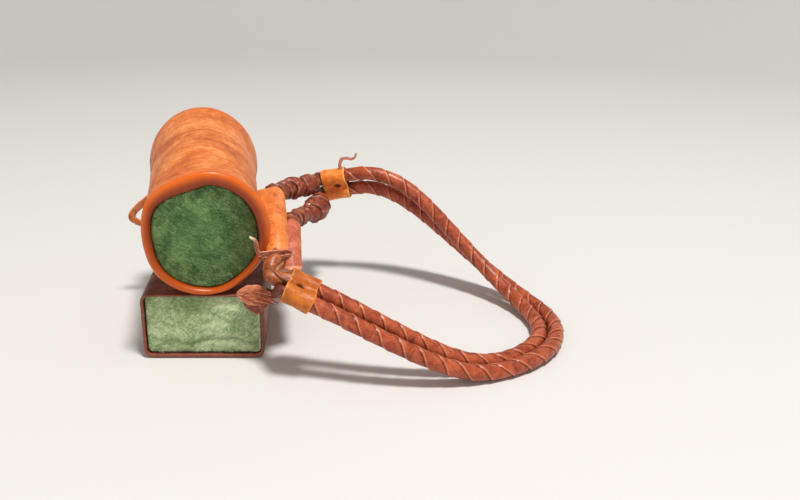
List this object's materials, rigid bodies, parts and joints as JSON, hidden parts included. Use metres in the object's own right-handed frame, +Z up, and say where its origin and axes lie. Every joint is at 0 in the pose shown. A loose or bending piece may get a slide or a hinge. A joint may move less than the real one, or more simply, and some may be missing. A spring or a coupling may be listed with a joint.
{
  "type": "leather medicine bag",
  "caption": "Leather medicine bag: a sealed drum pouch on a sealed box pouch, both with green suede end panels, tied to a double strap of spirally wrapped leather cords",
  "frame": {"origin": "middle of the box pouch's flat underside, on the surface that the bag stands on", "axes": "+X to the right towards the strap, +Y away from the viewer along the box's depth, +Z up"},
  "size_m": [0.3668, 0.2321, 0.1713],
  "materials": {
    "drum_leather": "smooth orange-brown vegetable-tanned leather",
    "drum_green": "dark green dyed suede, napped and worn",
    "box_leather": "dark red-brown leather, creased at the edges",
    "box_green": "pale green dyed suede, napped",
    "loop_leather": "tan leather strip",
    "sleeve_orange": "orange leather, worn smooth",
    "sleeve_brown": "pinkish brown leather",
    "cord_leather": "red-brown leather strip wrapped in a spiral, polished by handling",
    "knot_leather": "dark brown wrapped leather",
    "collar_leather": "yellow-orange leather band",
    "thong_leather": "thin brown leather thong",
    "tie_leather": "gathered brown leather strips"
  },
  "bodies": {
    "root": {"box_wall": "box_leather", "box_front_panel": "box_green", "box_back_panel": "box_green", "drum_wall": "drum_leather", "drum_front_panel": "drum_green", "drum_back_panel": "drum_green", "side_loop": "loop_leather", "upper_sleeve": "sleeve_orange", "lower_sleeve": "sleeve_brown", "upper_lanyard": "knot_leather", "lower_lanyard": "knot_leather", "near_thong": "thong_leather", "near_collar": "collar_leather", "far_collar": "collar_leather", "strap_cord_inner": "cord_leather", "strap_cord_outer": "cord_leather", "back_knot_upper": "knot_leather", "back_knot_lower": "knot_leather", "front_knot_upper": "knot_leather", "front_knot_lower": "knot_leather", "far_thong": "knot_leather", "box_tie_front": "tie_leather", "box_tie_cord": "knot_leather", "box_tie_rear": "tie_leather"}
  },
  "joints": []
}
